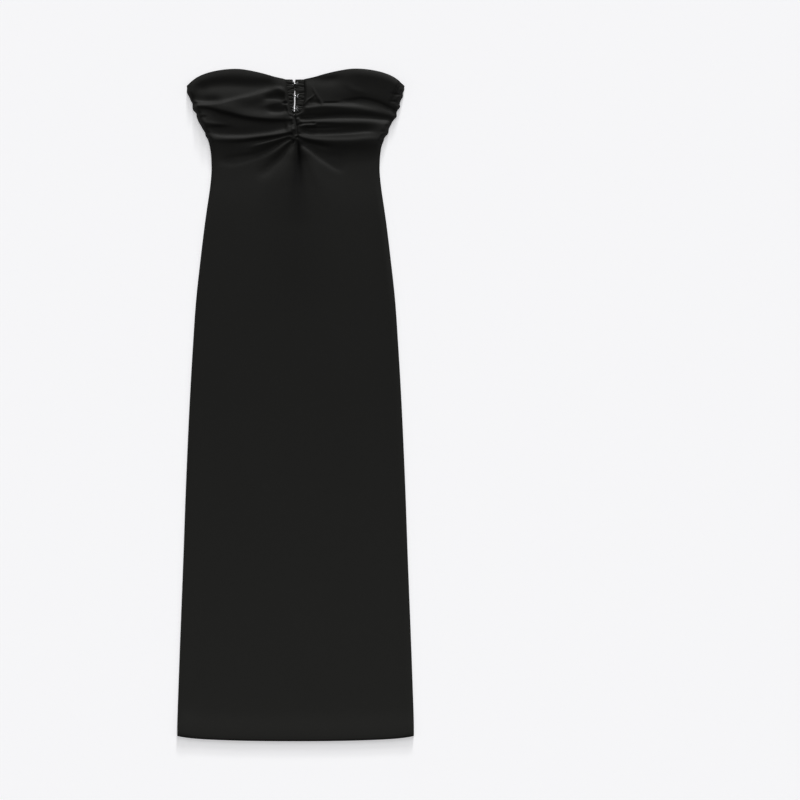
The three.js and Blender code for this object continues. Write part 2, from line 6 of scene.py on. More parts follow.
import bpy
import numpy as np
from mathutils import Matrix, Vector


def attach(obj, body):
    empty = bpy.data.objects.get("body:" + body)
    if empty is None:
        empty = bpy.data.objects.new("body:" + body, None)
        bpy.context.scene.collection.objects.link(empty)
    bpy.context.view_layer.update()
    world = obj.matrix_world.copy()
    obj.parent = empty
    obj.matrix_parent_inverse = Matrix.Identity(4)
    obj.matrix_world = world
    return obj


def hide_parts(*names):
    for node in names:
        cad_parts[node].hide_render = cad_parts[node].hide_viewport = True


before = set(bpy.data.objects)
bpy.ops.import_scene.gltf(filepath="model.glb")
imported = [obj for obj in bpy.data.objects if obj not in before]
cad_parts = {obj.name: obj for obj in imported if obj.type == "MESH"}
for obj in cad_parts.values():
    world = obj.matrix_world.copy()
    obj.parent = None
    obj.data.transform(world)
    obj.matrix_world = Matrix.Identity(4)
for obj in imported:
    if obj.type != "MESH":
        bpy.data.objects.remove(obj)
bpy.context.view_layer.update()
print("frame loaded:", sorted(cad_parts))

mm = 0.001

dress = {
    "length": 1208,
    "wall": 1.5,
    "seamGap": 0.3,
    "hemDepth": 31,
    "hemExtra": 0.9,  # what the turned-up cloth adds to the wall
    "hemEdge": 44,  # height over which it is felt to end
    "hemSweep": 9.4,  # how far the hem rises from the middle to the sides
    "hemCurve": [(0.66, 2.4), (0.34, 12)],  # shares of that, and their powers of the way out
    "sideRise": 0.8,  # the back's edge curls up to the front's
    "sideRiseReach": 8,
    "sideRoll": 11,  # how far in from each edge the front comes up to its full loft
    "neckRoll": 13,
    "neckLow": 0.74,  # share of the loft left at the neckline
    "hemRoll": 5,
    "bandRoll": 6,
    "bandLow": 0.25,  # and beside the ruched bands
    "bandTurn": 1.5,  # how wide the edges sewn to the bands are turned down
    "skirtLoft": 0.8,  # loft: how far the front lies over the back
    "sideLoft": 1.4,
    "sideLoftReach": 20,
    "bustLoft": 6,
    "bustLow": 1040,  # where it starts, and where it is full
    "bustFull": 1098,
    "backNeckDip": 58,  # how far the back's neckline is cut below the front's corners
    "backNeckPower": 1.5,
    "slitFoot": 1125,
    "footEase": 26,  # height over which the front comes down to it
    "edgeRound": 0.45,
    "creaseReach": 3.2,  # widths from its route at which a crease has run out
    "slopeStep": 0.5,  # between the two heights that a slope is taken from
    # half widths at the side seams, and heights of the neckline by the share of the way out
    "sections": [
        (0, 212.4), (37, 212.2), (109, 209.8), (181, 207.2), (325, 201.6), (469, 196.4), (613, 189.9),
        (721, 183.6), (793, 178.6), (865, 170.8), (937, 162), (991, 154.1), (1022, 150.9),
        (1045, 151.1), (1063, 152.9), (1081, 157.2), (1100, 166.5), (1120, 176.5), (1140, 184.5),
        (1160, 191), (1178, 195.5),
    ],
    "neckline": [
        (0, 1189.7), (0.1, 1193.5), (0.22, 1199.5), (0.34, 1204.4), (0.46, 1207.6), (0.56, 1207.6),
        (0.68, 1205.2), (0.8, 1200), (0.9, 1192), (1, 1178),
    ],
    # x of the middle line, of the seams beside the bands and of the slit, and half the slit's width
    "middle": [(1000, 0), (1060, 3), (1090, 3), (1108, 0.5), (1125, -2.5)],
    "bandSeamLeft": [
        (1125, -2.5), (1130, -7.6), (1136, -9), (1152, -11.9), (1168, -14.4), (1190, -18.6),
    ],
    "bandSeamRight": [
        (1125, -2.5), (1130, 7.2), (1136, 11.8), (1152, 14.8), (1168, 16.4), (1190, 15.2),
    ],
    "slitMiddle": [
        (1126.5, -2.6), (1131, -2.4), (1137, -2.4), (1142, -2), (1150, -1.5), (1165, -1.6),
        (1174, -1.4), (1181, -1.4), (1184, -2), (1187, -2.6), (1190, -2.9),
    ],
    "slitHalf": [
        (1126.5, 0.15), (1131, 0.2), (1133, 0.9), (1136, 1.4), (1150, 1.35), (1165, 1.35),
        (1168.5, 1.1), (1171, 0.4), (1174, 0.2), (1178, 0.2), (1182, 0.25), (1184, 0.9), (1187, 2.1),
        (1191, 3),
    ],
}

# Waves of the side seams where gathers meet them: side, up, out, reach
puckers = [
    (-1, 1166, 2.4, 6), (-1, 1147, -1.5, 4), (-1, 1136, 1.6, 4), (-1, 1128, -1.8, 3.5),
    (-1, 1114, 0.6, 6), (-1, 1095, -1, 3.5), (-1, 1088, 0.9, 4),
    (1, 1171, 1.2, 3.5), (1, 1159, 1.9, 4), (1, 1140, 2.9, 4), (1, 1123, 3.3, 5),
    (1, 1093, 3.1, 5.5), (1, 1079, 1.2, 5),
]

# Creases of the front: how far the crest or the bottom stands off the plain cloth, the widths of
# its flank towards the neckline and of the one towards the hem, each at the route's start and end,
# the shares of its length over which it fades in and out, and the route's points (x, up)
creases = {
    # left bust, from the neckline down
    "left neckline trough": (-4.0, 10, 12, 13, 15, 0.15, 0.15,
        [(-188, 1166), (-170, 1172), (-150, 1178), (-120, 1180), (-80, 1178), (-50, 1179),
         (-28, 1183)]),
    "left long ridge": (3.4, 5, 5, 26, 7, 0.05, 0.1,
        [(-182, 1142), (-160, 1141.5), (-140, 1143), (-120, 1147.5), (-100, 1153), (-80, 1157.5),
         (-60, 1163.8), (-45, 1168), (-34, 1171), (-25, 1169.5), (-18.5, 1163), (-16.5, 1155)]),
    "left side hollow": (-3.2, 11, 8, 4, 4, 0.1, 0.35,
        [(-190, 1155), (-172, 1152), (-148, 1150.5), (-126, 1154)]),
    "left side split": (-1.6, 2.5, 2.5, 2.5, 2.5, 0.05, 0.4, [(-184, 1145), (-166, 1146)]),
    "left upper hollow": (-3.0, 8, 9, 4, 4, 0.35, 0.1,
        [(-62, 1153), (-45, 1156), (-30, 1156.5), (-18, 1154)]),
    "left upper puff": (1.1, 5, 5, 4, 4, 0.5, 0.1,
        [(-72, 1139), (-54, 1142), (-35, 1146.5), (-24, 1148)]),
    "left pinch": (-2.8, 2.4, 2.4, 1.6, 1.6, 0.3, 0.1, [(-24, 1146.8), (-14, 1146.5)]),
    "left lower hollow": (-3.4, 8, 7, 5, 5, 0.35, 0.1,
        [(-56, 1134), (-38, 1132.5), (-25, 1132.5), (-13, 1136)]),
    "left lap": (3.9, 7, 18, 4, 4, 0.3, 0.3,
        [(-8, 1120), (-20, 1119.5), (-40, 1118.5), (-60, 1119), (-85, 1122), (-100, 1125.5),
         (-120, 1131), (-135, 1134.5), (-148, 1138), (-168, 1139.5)]),
    "left lap fold": (-2.8, 2.4, 2.4, 10, 12, 0.03, 0.05,
        [(-4, 1113.5), (-20, 1113.5), (-40, 1113.5), (-60, 1115), (-85, 1118), (-100, 1120.5),
         (-120, 1125), (-135, 1129), (-148, 1133.5), (-160, 1135.5), (-182, 1137)]),
    "left shelf": (-3.9, 14, 14, 5, 5.5, 0.2, 0.05,
        [(-166, 1094), (-100, 1091.5), (-60, 1095), (-12, 1102)]),
    "left side ridge": (1.3, 4, 4, 3, 3, 0.2, 0.4, [(-172, 1112), (-150, 1109.5), (-116, 1106.5)]),
    "left side line": (-1.4, 2, 2, 8, 8, 0.05, 0.5,
        [(-169, 1102), (-145, 1103.5), (-128, 1104), (-106, 1102.5)]),
    "left side wedge": (-1.2, 2.5, 2.5, 3.5, 3.5, 0.05, 0.4, [(-176, 1121), (-156, 1121.5)]),
    "left under ridge": (2.2, 4.6, 6.5, 4, 4, 0.3, 0.05,
        [(-166, 1082), (-130, 1081.3), (-110, 1081.5), (-90, 1083), (-60, 1086.8), (-30, 1090),
         (-10, 1094.5), (-3, 1101), (-1, 1107)]),
    "left under fold": (-3.6, 2.2, 2.4, 3, 6, 0.03, 0.6,
        [(-4, 1092), (-15, 1089.5), (-30, 1086.5), (-50, 1083), (-70, 1080.3), (-90, 1077.3),
         (-105, 1075), (-128, 1073)]),
    "left thin ridge": (2.1, 2, 3, 3, 6, 0.05, 0.4,
        [(-6, 1088.5), (-20, 1085.5), (-40, 1079.3), (-60, 1073.5), (-92, 1064)]),
    "left fan trough": (-3.0, 3, 10, 3, 8, 0.05, 0.3,
        [(-6, 1084.5), (-20, 1078.5), (-40, 1068), (-60, 1057.5), (-85, 1048.5), (-120, 1042),
         (-146, 1044)]),
    "left fan ridge": (2.2, 3, 7, 4, 10, 0.05, 0.7,
        [(-6, 1081), (-20, 1072), (-35, 1060), (-50, 1050), (-65, 1043), (-84, 1036)]),
    "left steep trough": (-3.4, 3, 9, 4, 12, 0.05, 0.35,
        [(-3, 1083), (-13, 1068.5), (-25, 1052.5), (-36.5, 1040), (-51, 1027), (-75, 1012)]),
    "left steep ridge": (3.2, 10, 34, 5, 22, 0.2, 0.6,
        [(0, 1078), (-6, 1060), (-14, 1040), (-25, 1018), (-38, 985), (-48, 945)]),
    "tuck": (-2.2, 1.3, 1.3, 1.3, 1.3, 0.15, 0.1, [(-7, 1073), (-1, 1081.5)]),
    "tuck edge left": (0.9, 1.2, 1.2, 1.2, 1.2, 0.2, 0.2, [(-9, 1075.5), (-2.5, 1084)]),
    "tuck edge right": (0.9, 1.2, 1.2, 1.2, 1.2, 0.2, 0.2, [(-4.5, 1071), (1, 1078.5)]),
    # middle
    "middle trough": (-3.6, 2.8, 14, 2.8, 14, 0.05, 0.7,
        [(3, 1084), (2.5, 1072), (2.5, 1060), (3.5, 1045), (5, 1020), (5, 990), (4, 950)]),
    "fan swell": (4.4, 34, 75, 34, 75, 0.22, 0.75, [(4, 1076), (4, 1000), (4, 900), (4, 760)]),
    "gathered seam": (-3.4, 2.4, 2.4, 2.4, 2.4, 0.05, 0.05,
        [(-2.5, 1125), (-1, 1116), (1.5, 1106), (2, 1096), (1.5, 1088)]),
    # right bust, from the neckline down
    "right neckline hollow": (-2.6, 7, 8, 11, 10, 0.1, 0.35,
        [(14, 1190), (34, 1189), (56, 1188), (74, 1190), (92, 1193)]),
    "right soft streak": (0.5, 5, 5, 5, 5, 0.3, 0.4,
        [(84, 1187), (95, 1177), (108, 1169), (134, 1164)]),
    "right rim rise": (6.2, 12, 12, 30, 34, 0.45, 0.05,
        [(70, 1213), (110, 1215), (140, 1211), (165, 1204), (194, 1189)]),
    "right broad hollow": (-2.9, 12, 14, 5, 15, 0.5, 0.05,
        [(36, 1149), (56, 1148.5), (80, 1148.5), (110, 1147.5), (140, 1142.5), (160, 1135.5),
         (184, 1128)]),
    "right hollow line": (-1.7, 2.6, 2.6, 6, 6, 0.3, 0.05,
        [(74, 1149), (100, 1152), (120, 1154), (140, 1150), (156, 1144.5), (182, 1131)]),
    "crossing crease": (1.6, 1.5, 1.5, 1.5, 1.5, 0.4, 0.05,
        [(29, 1180), (35, 1166), (42, 1154), (50, 1143)]),
    "meeting crease": (1.6, 1.5, 1.5, 1.5, 1.5, 0.05, 0.3,
        [(15, 1143), (22, 1151.5), (30, 1157), (37, 1165)]),
    "crossing hollow": (-1.5, 5, 4, 3, 3, 0.2, 0.2, [(21, 1149), (33, 1148), (46, 1147)]),
    "right line": (-1.6, 1.5, 1.5, 2.5, 2.5, 0.2, 0.4, [(46, 1147), (62, 1147.3), (84, 1148)]),
    "right upper ridge": (2.6, 2.8, 6, 6, 6, 0.05, 0.75,
        [(12, 1136.5), (30, 1138.5), (50, 1140.6), (80, 1140.3), (110, 1138.6), (140, 1133),
         (160, 1127.5), (184, 1121)]),
    "right upper fold": (-4.8, 6.5, 7, 2.8, 7, 0.03, 0.1,
        [(7, 1115.5), (11, 1118.5), (25, 1119.5), (40, 1120.8), (60, 1122.8), (90, 1123.8), (120, 1123),
         (140, 1121.5), (160, 1118), (182, 1113)]),
    "right fold line": (-1.2, 2, 2, 2, 2, 0.2, 0.2,
        [(30, 1119.5), (60, 1120.5), (100, 1120), (170, 1116)]),
    "right small lobe": (1.0, 2, 2, 2, 2, 0.1, 0.6, [(11, 1121), (30, 1122), (50, 1123)]),
    "right middle ridge": (2.5, 3.2, 8, 2, 7, 0.03, 0.6,
        [(8, 1110), (25, 1110.5), (40, 1112), (60, 1112), (80, 1111.3), (120, 1111), (140, 1110.5),
         (155, 1108.5), (176, 1105.5)]),
    "right tuck": (-2.6, 1.4, 1.4, 1.4, 1.4, 0.1, 0.15,
        [(3, 1104), (5, 1107.5), (12, 1109.8), (25, 1110.6), (38, 1111)]),
    "right tuck edge": (2.6, 1.5, 1.5, 3, 3, 0.1, 0.1,
        [(6, 1104), (15, 1106.3), (32, 1107), (39, 1109)]),
    "right middle fold": (-3.8, 8, 10, 3.5, 4, 0.05, 0.3,
        [(10, 1097), (30, 1093.5), (60, 1093.5), (100, 1095.5), (125, 1097), (158, 1095)]),
    "right middle line": (-1.4, 2, 2, 2, 2, 0.1, 0.5,
        [(14, 1103.5), (30, 1102), (50, 1101.5), (66, 1102.5), (94, 1103.5)]),
    "right under ridge": (3.6, 5, 7, 6, 16, 0.03, 0.3,
        [(3, 1086), (15, 1082.5), (30, 1080), (60, 1078.3), (100, 1078.6), (130, 1081), (172, 1081)]),
    "right under fold": (-3.2, 2.4, 5, 3, 6, 0.03, 0.35,
        [(1, 1087.5), (8, 1083), (20, 1078), (40, 1072.8), (70, 1065.5)]),
    "right fan hollow": (-3.2, 6, 24, 4, 8, 0.1, 0.3,
        [(8, 1078), (30, 1062), (50, 1048), (72, 1034), (96, 1024)]),
    "right fan ridge": (1.8, 4, 9, 8, 20, 0.1, 0.5,
        [(10, 1072), (25, 1059), (40, 1045), (60, 1031), (84, 1016)]),
    "right steep ridge": (3.0, 9, 30, 5, 22, 0.2, 0.6,
        [(8, 1078), (16, 1060), (26, 1040), (37, 1018), (50, 985), (60, 945)]),
    # puckers beside the gathered seam
    "pucker 1": (-1.3, 1.3, 1.3, 1.3, 1.3, 0.1, 0.5, [(-4, 1122), (-8, 1123.5), (-13, 1124)]),
    "pucker 2": (-1.3, 1.3, 1.3, 1.3, 1.3, 0.1, 0.5, [(0, 1120.5), (4, 1122), (9, 1123)]),
    "pucker 3": (1.1, 1.4, 1.4, 1.4, 1.4, 0.1, 0.5, [(-3, 1117.5), (-7, 1118.5), (-12, 1118)]),
    "pucker 4": (1.0, 1.2, 1.2, 1.2, 1.2, 0.1, 0.5, [(1, 1116), (4, 1117.5), (8, 1117)]),
    "pucker 5": (-1.1, 1.3, 1.3, 1.3, 1.3, 0.1, 0.5, [(-2, 1110), (-6, 1109), (-11, 1109.5)]),
    "pucker 6": (1.0, 1.3, 1.3, 1.3, 1.3, 0.1, 0.5, [(0, 1100), (-4, 1099), (-9, 1099.5)]),
    "pucker 7": (-1.1, 1.2, 1.2, 1.2, 1.2, 0.1, 0.5, [(3, 1093), (7, 1091.5), (12, 1091)]),
    # gathers at the side seams
    "left gather 1": (-1.2, 2, 2, 2, 2, 0.05, 0.5, [(-180, 1130), (-166, 1129)]),
    "left gather 2": (-1.2, 2.2, 2.2, 2.2, 2.2, 0.05, 0.5, [(-168, 1093), (-150, 1094)]),
    "left gather 3": (-1.0, 2, 2, 2, 2, 0.05, 0.5, [(-160, 1076), (-144, 1075)]),
    "right gather 1": (-1.4, 2.2, 2.2, 2.2, 2.2, 0.5, 0.05, [(168, 1163), (192, 1161)]),
    "right gather 2": (-1.3, 2, 2, 2, 2, 0.5, 0.05, [(166, 1150), (190, 1148)]),
    "right gather 3": (-1.3, 2, 2, 2, 2, 0.5, 0.05, [(156, 1106), (175, 1103)]),
    "right gather 4": (-1.3, 2, 2, 2, 2, 0.5, 0.05, [(150, 1094), (170, 1097)]),
    "right gather 5": (-1.2, 2, 2, 2, 2, 0.5, 0.05, [(144, 1076), (162, 1081)]),
    # soft hollows and swells of the skirt
    "waist swell": (2.6, 45, 45, 200, 200, 0.02, 0.02, [(-230, 962), (230, 962)]),
    "hem hollow": (-0.7, 12, 16, 12, 16, 0.3, 0.2, [(-166, 120), (-196, 40)]),
    "left swell": (0.5, 34, 30, 34, 30, 0.4, 0.4, [(-120, 700), (-60, 330)]),
    "right swell": (0.5, 30, 34, 30, 34, 0.4, 0.4, [(70, 820), (96, 420)]),
    "hem swell": (0.5, 34, 30, 34, 30, 0.4, 0.3, [(-20, 300), (40, 60)]),
}

# Rows run across a panel from hem to neckline, columns from its middle to its sides
gridOf = {
    "hemRows": [0, 1, 2.5, 5, 9, 16, 23, 30, 38, 46, 56],
    "skirtRows": 38,
    "bustStart": 0.83,  # share of the height
    "bustRows": 100,
    "backNeckStart": 0.95,
    "neckRows": 62,
    "columns": 92,
    "backColumns": 24,
    "crowding": 0.45,  # of the columns at the middle and at the sides
}


def clamp01(t):
    return np.clip(t, 0, 1)


def ease(t):
    t = clamp01(t)
    return t * t * (3 - 2 * t)


def mix(a, b, t):
    return a + (b - a) * t


def roll(distance, reach):
    # A quarter round that is full at the reach
    return 1 - (1 - clamp01(distance / reach)) ** 2


def smoothCurve(rows):
    # A smooth function through the rows (key, value)
    keys, values = (np.array(column, float) for column in zip(*rows))
    count = len(keys)
    before = np.maximum(np.arange(count) - 1, 0)
    after = np.minimum(np.arange(count) + 1, count - 1)
    slopes = (values[after] - values[before]) / (keys[after] - keys[before])

    def at(x):
        x = np.clip(x, keys[0], keys[-1])
        i = np.clip(np.searchsorted(keys, x, side="right") - 1, 0, count - 2)
        span = keys[i + 1] - keys[i]
        t = (x - keys[i]) / span
        start = (1 + 2 * t) * (1 - t) ** 2 * values[i] + t * (1 - t) ** 2 * span * slopes[i]
        return start + t**2 * (3 - 2 * t) * values[i + 1] - t**2 * (1 - t) * span * slopes[i + 1]

    return at


sectionHalf = smoothCurve(dress["sections"])
necklineUp = smoothCurve(dress["neckline"])
middleX = smoothCurve(dress["middle"])
bandSeamX = {-1: smoothCurve(dress["bandSeamLeft"]), 1: smoothCurve(dress["bandSeamRight"])}
slitMiddle = smoothCurve(dress["slitMiddle"])
slitHalf = smoothCurve(dress["slitHalf"])


def sideX(side, up):
    out = sum(size * np.exp(-(((up - at) / reach) ** 2)) for s, at, size, reach in puckers if s == side)
    return side * (sectionHalf(up) + out)


def innerX(side, up):
    return np.where(up > dress["slitFoot"], bandSeamX[side](up), middleX(up))


def hemUp(out):
    return dress["hemSweep"] * sum(share * out**power for share, power in dress["hemCurve"])


def backNecklineUp(out):
    return necklineUp(1) - dress["backNeckDip"] * (1 - out**2) ** dress["backNeckPower"]


def hemExtra(fromHem):
    return dress["hemExtra"] * (1 - ease((fromHem - dress["hemDepth"]) / dress["hemEdge"] + 0.5))


def routeSamples(points, perStep=6):
    # A smooth route through the points, as short straight steps
    points = np.array(points, float)
    padded = np.vstack([2 * points[0] - points[1], points, 2 * points[-1] - points[-2]])
    samples = []
    for a, b, c, d in zip(padded, padded[1:], padded[2:], padded[3:]):
        for t in np.arange(perStep) / perStep:
            bent = (2 * a - 5 * b + 4 * c - d) * t**2 + (3 * b - a - 3 * c + d) * t**3
            samples.append((2 * b + (c - a) * t + bent) / 2)
    return np.array([*samples, points[-1]])


def creaseHeight(crease, x, up):
    # The crease's share of the front's height at each point, from the point's place beside its route
    height, above, toAbove, below, toBelow, fade, toFade, points = crease
    samples = routeSamples(points)
    steps = np.diff(samples, axis=0)
    lengths = np.hypot(steps[:, 0], steps[:, 1])
    starts = np.concatenate([[0], np.cumsum(lengths)])
    reach = dress["creaseReach"] * max(above, toAbove, below, toBelow)
    low, high = samples.min(axis=0) - reach, samples.max(axis=0) + reach
    near = (x > low[0]) & (x < high[0]) & (up > low[1]) & (up < high[1])
    px, pu = x[near], up[near]
    nearest = np.full(px.shape, np.inf)
    aside, along = np.zeros_like(px), np.zeros_like(px)
    for i, (sx, su) in enumerate(steps):
        t = clamp01(((px - samples[i, 0]) * sx + (pu - samples[i, 1]) * su) / lengths[i] ** 2)
        dx, du = px - samples[i, 0] - t * sx, pu - samples[i, 1] - t * su
        distance = np.hypot(dx, du)
        closer = distance < nearest
        upwards = np.sign(dx * -su + du * sx) * (1 if sx >= 0 else -1)
        nearest = np.where(closer, distance, nearest)
        aside = np.where(closer, distance * upwards, aside)
        along = np.where(closer, starts[i] + t * lengths[i], along)
    along = along / starts[-1]
    wide = np.where(aside > 0, mix(above, toAbove, along), mix(below, toBelow, along))
    strength = ease(along / fade) * ease((1 - along) / toFade)
    made = np.zeros_like(x)
    made[near] = height * strength * np.exp(-((aside / wide) ** 2))
    return made


def backOver(fromSide, fromHem):
    # Heights of the back's underside and of its upper side
    rise = dress["sideRise"] * (1 - clamp01(fromSide / dress["sideRiseReach"])) ** 2
    return rise, rise + dress["wall"] + hemExtra(fromHem)


def frontLoft(x, up, fromSide, fromHem, fromNeck, fromBand):
    beside = np.exp(-((fromSide / dress["sideLoftReach"]) ** 2))
    bust = ease((up - dress["bustLow"]) / (dress["bustFull"] - dress["bustLow"]))
    free = dress["skirtLoft"] + dress["sideLoft"] * beside + dress["bustLoft"] * bust
    free = free + sum(creaseHeight(crease, x, up) for crease in creases.values())
    laid = (free + np.sqrt(free**2 + 1)) / 2  # never below what it lies on
    atNeck = mix(dress["neckLow"], 1, roll(fromNeck, dress["neckRoll"]))
    atBand = mix(dress["bandLow"], 1, roll(fromBand, dress["bandRoll"]))
    atSide = roll(fromSide, dress["sideRoll"])
    return laid * atSide * roll(fromHem, dress["hemRoll"]) * atNeck * atBand


def panelPlaces(side, outs, shares, back=False):
    # x, up and the distances from side, hem, neckline and band of half a panel's points
    out, share = np.meshgrid(outs, shares)
    lowest = hemUp(out)
    highest = backNecklineUp(out) if back else necklineUp(out)
    up = mix(lowest, highest, share)
    inner = 0 * up if back else innerX(side, up)
    edge = sideX(side, up)
    x = mix(inner, edge, out)
    aboveFoot = ease((up - dress["slitFoot"]) / dress["footEase"] + 1)
    fromBand = np.abs(x - inner) + dress["bandRoll"] * (1 - aboveFoot)
    return x, up, np.abs(edge - x), up - lowest, highest - up, fromBand


def frontHeights(places):
    x, up, fromSide, fromHem, fromNeck, fromBand = places
    step = dress["slopeStep"]
    floor = backOver(fromSide, fromHem)[1] + dress["seamGap"]
    loft = frontLoft(*places)
    slopeX = (frontLoft(x + step, up, fromSide, fromHem, fromNeck, fromBand) - loft) / step
    slopeUp = (frontLoft(x, up + step, fromSide, fromHem, fromNeck, fromBand) - loft) / step
    wall = dress["wall"] * np.sqrt(1 + slopeX**2 + slopeUp**2)
    over = floor + dress["wall"] + hemExtra(fromHem) + loft
    under = np.maximum(floor, over - wall - hemExtra(fromHem))
    turned = 1 - clamp01(fromBand / dress["bandTurn"])  # the edges sewn to the bands are turned down
    return over, mix(under, floor, turned)


def toFrame(x, up, z):
    return np.stack([x, up - dress["length"] / 2, z], axis=-1) * mm


def linked(name, data):
    made = bpy.data.objects.new(name, data)
    bpy.context.scene.collection.objects.link(made)
    return made


def plainPiece(name, holder):
    # The holder's finished shape as a plain mesh, in its place
    mesh = bpy.data.meshes.new_from_object(holder.evaluated_get(bpy.context.evaluated_depsgraph_get()))
    bpy.data.objects.remove(holder)
    mesh.name = name
    return linked(name, mesh)


def newObject(name, verts, faces, uvs=None, material=None):
    mesh = bpy.data.meshes.new(name)
    mesh.from_pydata([tuple(v) for v in verts], [], faces)
    if uvs is not None:
        layer = mesh.uv_layers.new(name="cut")
        loops = np.zeros(len(mesh.loops), np.int32)
        mesh.loops.foreach_get("vertex_index", loops)
        layer.data.foreach_set("uv", np.asarray(uvs, np.float32)[loops].ravel())
    mesh.polygons.foreach_set("use_smooth", np.ones(len(mesh.polygons), bool))
    mesh.update()
    if material:
        mesh.materials.append(material)
    return linked(name, mesh)


def closedCloth(name, over, under, cut, faces, material):
    # over, under: points of both faces; the rim between them is rounded outwards
    count = len(over)
    verts, uvs = [*over, *under], [*cut, *cut]
    allFaces = [*faces, *(tuple(i + count for i in reversed(f)) for f in faces)]
    edges = {(f[i], f[(i + 1) % len(f)]) for f in faces for i in range(len(f))}
    rim = {a: b for a, b in edges if (b, a) not in edges}
    before = {b: a for a, b in rim.items()}
    middle = {}
    for a in rim:
        run = Vector((over[rim[a]] - over[before[a]])[:2])
        run.normalize()
        outwards = np.array([run.y, -run.x, 0]) * dress["edgeRound"] * mm
        middle[a] = len(verts)
        verts.append((over[a] + under[a]) / 2 + outwards)
        uvs.append(cut[a])
    for a, b in rim.items():
        allFaces.append((b, a, middle[a], middle[b]))
        allFaces.append((middle[b], middle[a], a + count, b + count))
    made = newObject(name, verts, allFaces, uvs, material)
    sharp = {frozenset((i + side, rim[i] + side)) for i in rim for side in (0, count)}
    for edge in made.data.edges:
        edge.use_edge_sharp = frozenset(edge.vertices) in sharp
    return made


def panelShares(slashed):
    # Shares of the height for the rows, and the row at the slit's foot
    shares = [up / dress["length"] for up in gridOf["hemRows"]]
    skirt = np.linspace(shares[-1], gridOf["bustStart"], gridOf["skirtRows"] + 1)[1:]
    foot = dress["slitFoot"] / necklineUp(0) if slashed else gridOf["backNeckStart"]
    bust = np.linspace(gridOf["bustStart"], foot, gridOf["bustRows"] + 1)[1:]
    neck = np.linspace(foot, 1, gridOf["neckRows"] + 1)[1:]
    return np.array([*shares, *skirt, *bust, *neck]), len(shares) + len(skirt) + len(bust) - 1


def columnShares(count):
    t = np.linspace(0, 1, count + 1)
    return t - gridOf["crowding"] * np.sin(2 * math.pi * t) / (2 * math.pi)


def gridFaces(index):
    rows, columns = index.shape
    return [
        (index[r, c], index[r, c + 1], index[r + 1, c + 1], index[r + 1, c])
        for r in range(rows - 1)
        for c in range(columns - 1)
    ]


def arcCut(x, up, z):
    # How far each point lies from the middle and from the hem along the cloth, in metres
    across = np.zeros_like(x)
    across[:, 1:] = np.cumsum(np.hypot(np.diff(x, axis=1), np.diff(z, axis=1)), axis=1)
    along = np.zeros_like(x)
    along[1:] = np.cumsum(np.hypot(np.diff(up, axis=0), np.diff(z, axis=0)), axis=0)
    return across * mm, along * mm


def buildFront(material):
    shares, footRow = panelShares(True)
    outs = columnShares(gridOf["columns"])
    rows, columns = len(shares), len(outs)
    over, under, cut, index = [], [], [], {}
    for side in (1, -1):
        places = panelPlaces(side, outs, shares)
        top, bottom = frontHeights(places)
        across, along = arcCut(places[0], places[1], top)
        index[side] = np.arange(rows * columns).reshape(rows, columns) + len(over)
        over += list(toFrame(places[0], places[1], top).reshape(-1, 3))
        under += list(toFrame(places[0], places[1], bottom).reshape(-1, 3))
        cut += list(np.stack([side * across, along], axis=-1).reshape(-1, 2))
    index[-1][: footRow + 1, 0] = index[1][: footRow + 1, 0]  # one middle line below the slit
    faces = gridFaces(index[1]) + [(b, a, d, c) for a, b, c, d in gridFaces(index[-1])]
    used = sorted({i for f in faces for i in f})
    new = {old: i for i, old in enumerate(used)}
    faces = [tuple(new[i] for i in f) for f in faces]
    over, under, cut = ([points[i] for i in used] for points in (over, under, cut))
    return closedCloth("front_cloth", over, under, cut, faces, material)


def clothStrip(name, x, up, top, bottom, cut, material):
    faces = gridFaces(np.arange(x.size).reshape(x.shape))
    over = list(toFrame(x, up, top).reshape(-1, 3))
    under = list(toFrame(x, up, bottom).reshape(-1, 3))
    return closedCloth(name, over, under, list(np.stack(cut, axis=-1).reshape(-1, 2)), faces, material)


def buildBack(material):
    shares, _ = panelShares(False)
    half = columnShares(gridOf["backColumns"])
    sides = []
    for side in (-1, 1):
        outs = half[::-1] if side < 0 else half[1:]
        places = panelPlaces(side, outs, shares, back=True)
        bottom, top = backOver(places[2], places[3])
        sides.append((places[0], places[1], top, bottom))
    x, up, top, bottom = (np.concatenate(pair, axis=1) for pair in zip(*sides))
    return clothStrip("back_cloth", x, up, top, bottom, arcCut(x, up, 0 * x), material)


band = {
    "foot": 1126.5,
    "slitTop": 1189.5,
    "height": 2.1,
    "leastHeight": 0.5,  # in the deepest gathers
    "edgeHeight": 0.5,  # share of the height left at both edges
    "crown": 0.6,  # power of the arch between them
    "topHeight": 0.6,  # share left at the neckline
    "topRoll": 3,
    "puff": 0.35,  # how far the slit's edge draws back at a gather
    "tucked": 1.2,  # how far the seam's edge goes under the front
    "tuckEase": 4,
    "bend": 0.7,
    "bendTurns": (0.7, 0.37),  # of its wave across the band, and from one gather to the next
    "uneven": 0.6,
    "unevenTurns": (0.8, 0.61),
    "rows": 260,
    "columns": 22,
}

